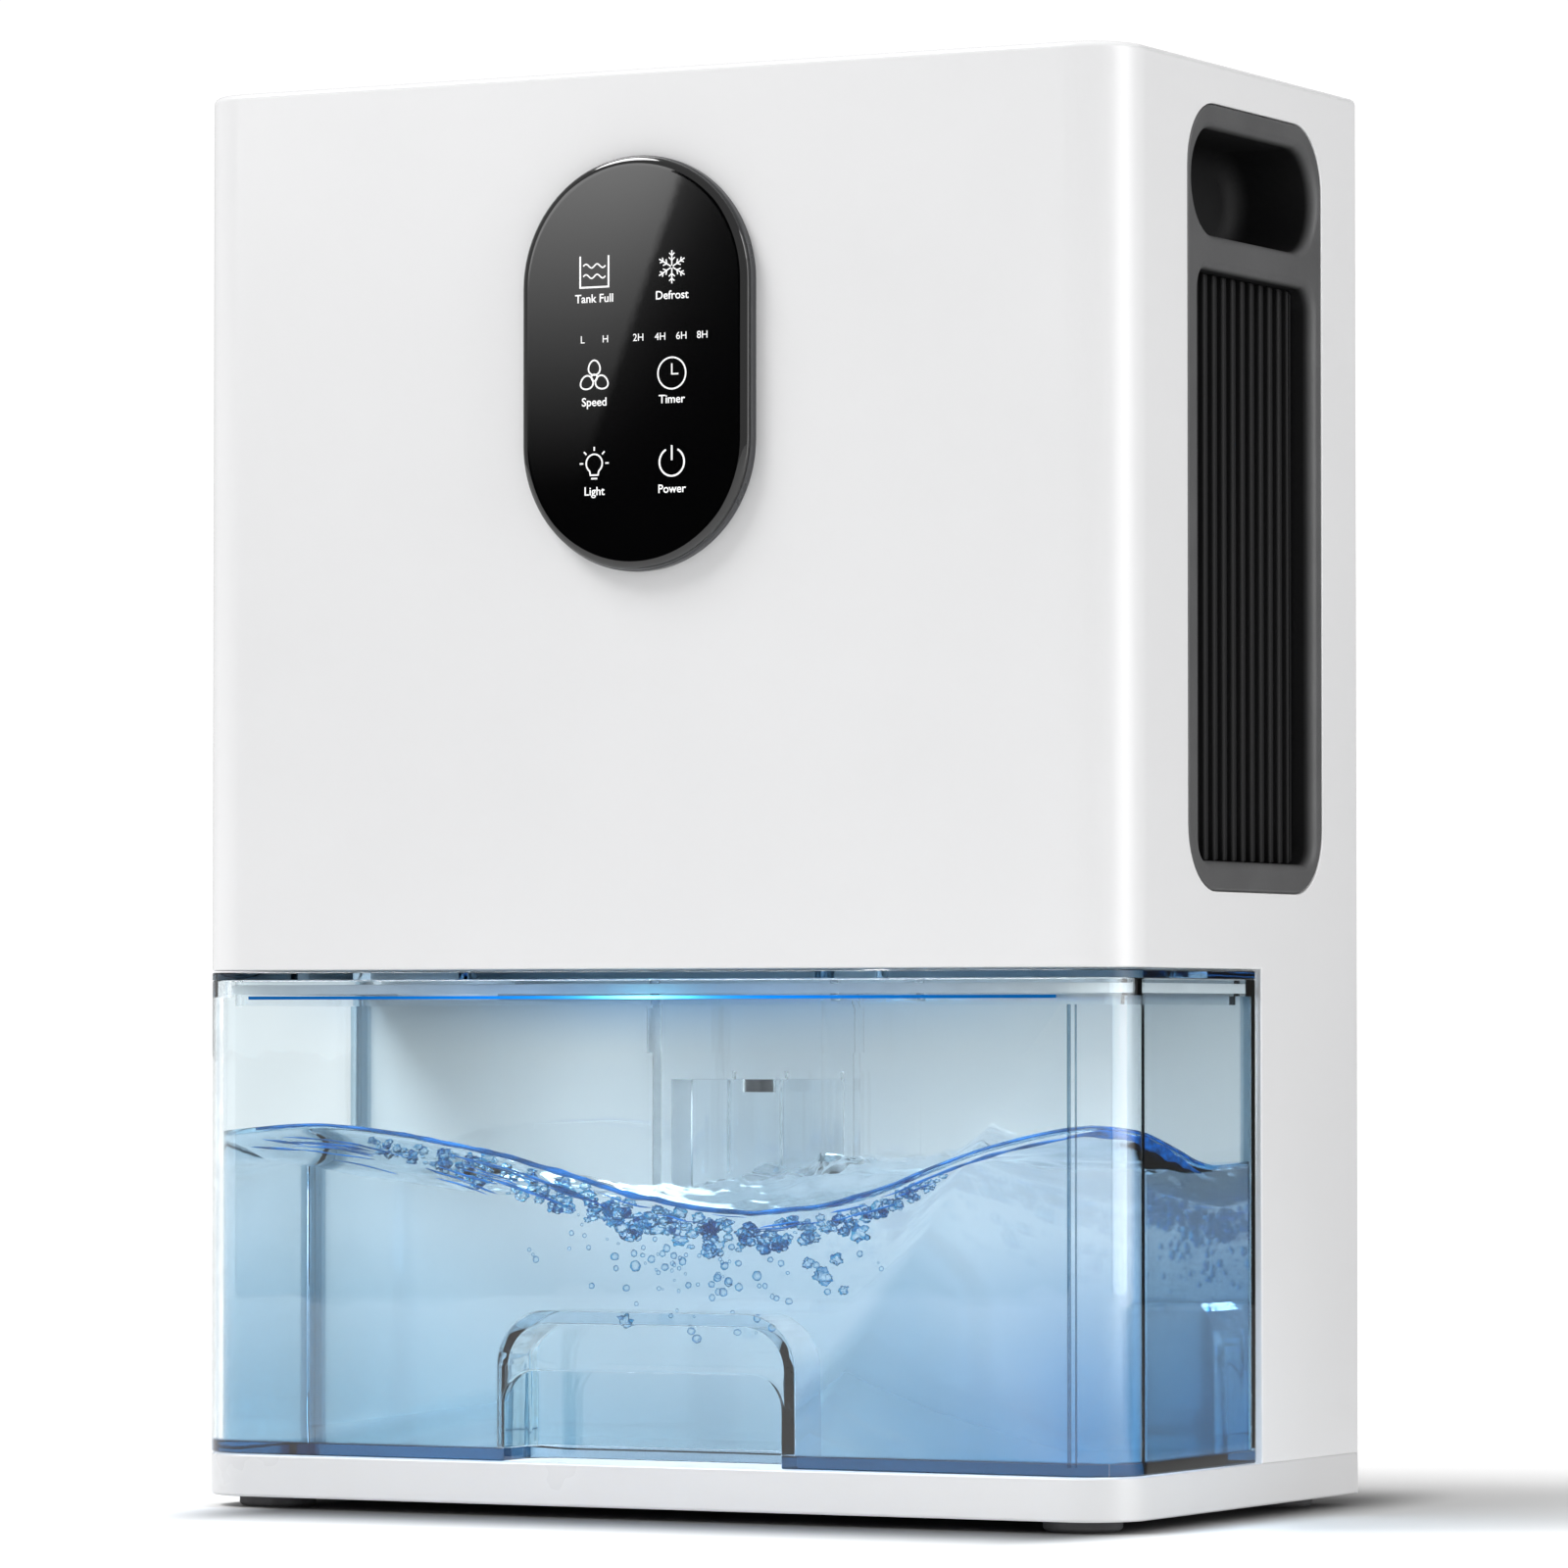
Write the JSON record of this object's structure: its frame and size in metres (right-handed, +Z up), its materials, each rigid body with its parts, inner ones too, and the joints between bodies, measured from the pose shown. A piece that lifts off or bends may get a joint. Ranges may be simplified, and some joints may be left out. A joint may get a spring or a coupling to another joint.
{
  "type": "dehumidifier",
  "caption": "Upright tabletop dehumidifier with an oval touch panel, louvred side inserts and a clear pull-out water tank lit from above.",
  "frame": {"origin": "on the floor, at the middle of the footprint's box", "axes": "+Z up, -Y towards the control panel's front, +X to the right seen from the front"},
  "size_m": [0.242, 0.137, 0.3325],
  "materials": {
    "white_housing": "white ABS, satin moulded",
    "white_base": "white ABS, fine texture",
    "white_liner": "white ABS, moulded",
    "foot_rubber": "grey rubber",
    "black_insert": "black ABS, satin moulded",
    "panel_bezel": "dark grey plastic, satin",
    "panel_lens": "black acrylic, high gloss",
    "circuit_board": "green solder mask on glass-epoxy board",
    "white_board": "white solder mask on glass-epoxy board",
    "gold_spring": "plated spring wire",
    "led_ivory": "LED package, clear epoxy",
    "light_blue_led": "blue LED package",
    "black_fan": "black PBT, moulded",
    "dark_grey_fan": "dark grey PBT, moulded",
    "steel": "zinc-plated steel",
    "ferrite": "ferrite magnet",
    "copper_winding": "enamelled copper wire on a steel core",
    "bronze": "sintered bronze",
    "aluminium": "plain extruded aluminium",
    "white_ceramic": "alumina plates with potted edges",
    "grey_foam": "closed-cell foam",
    "black_epoxy": "black epoxy bead",
    "silicone": "translucent silicone",
    "white_silicone": "white silicone",
    "component_mix": "dark moulded components",
    "clear_reed": "glass reed switch",
    "light_guide": "clear acrylic",
    "clear_blue_tank": "blue-tinted clear styrene-acrylonitrile",
    "clear_blue_lid": "blue-tinted clear styrene-acrylonitrile",
    "clear_cage": "clear plastic",
    "white_float": "white expanded polystyrene core in a thin skin",
    "red_lead": "PVC-insulated lead",
    "black_lead": "PVC-insulated lead",
    "grey_lead": "PVC-insulated lead"
  },
  "bodies": {
    "housing": {"main_shell": "white_housing", "base_tray": "white_housing", "rear_cover": "white_housing", "base_plate": "white_base", "rubber_feet": "foot_rubber", "bay_ceiling": "white_liner", "bay_rear_wall": "white_liner", "side_insert_right": "black_insert", "louvre_right": "black_insert", "louvre_left": "black_insert", "side_insert_left": "black_insert", "panel_bezel": "panel_bezel", "panel_lens": "panel_lens", "control_board": "circuit_board", "touch_springs": "gold_spring", "indicator_leds": "led_ivory", "fan_frame": "black_fan", "fan_stator": "copper_winding", "fan_bearing": "bronze", "hot_heatsink": "aluminium", "peltier_module": "white_ceramic", "cold_block": "aluminium", "insulation_frame": "grey_foam", "cold_heatsink": "aluminium", "defrost_sensor": "black_epoxy", "drip_tray": "white_liner", "drain_hose": "silicone", "power_board": "circuit_board", "power_components": "component_mix", "dc_jack": "black_insert", "dc_pin": "steel", "level_sensor_board": "circuit_board", "reed_switch": "clear_reed", "light_board": "white_board", "light_leds": "light_blue_led", "light_guide": "light_guide", "peltier_leads": "red_lead", "fan_lead": "black_lead", "panel_cable": "grey_lead", "dc_lead": "black_lead", "light_lead": "grey_lead", "sensor_leads": "grey_lead", "rear_cover_screws": "steel", "fan_screws": "steel", "heatsink_screws": "steel", "panel_board_screws": "steel", "power_board_screws": "steel", "liner_screws": "steel", "base_screws": "steel"},
    "water_tank": {"tank": "clear_blue_tank", "tank_lid": "clear_blue_lid", "lid_seal": "silicone", "pour_plug": "white_silicone", "float_cage": "clear_cage"},
    "float": {"tank_float": "white_float", "float_magnet": "ferrite"},
    "fan_wheel": {"fan_rotor": "dark_grey_fan", "fan_shaft": "steel", "fan_magnet_ring": "ferrite"}
  },
  "joints": [
    {"name": "tank_slide", "type": "slide", "parent": "housing", "child": "water_tank", "axis": [0, -1, 0], "range_m": [0, 0.09]},
    {"name": "float_rise", "type": "slide", "parent": "water_tank", "child": "float", "axis": [0, 0, 1], "range_m": [0, 0.014]},
    {"name": "fan_spin", "type": "hinge", "parent": "housing", "child": "fan_wheel", "pos_m": [0, 0.0509, 0.236], "axis": [0, 1, 0], "continuous": true}
  ]
}
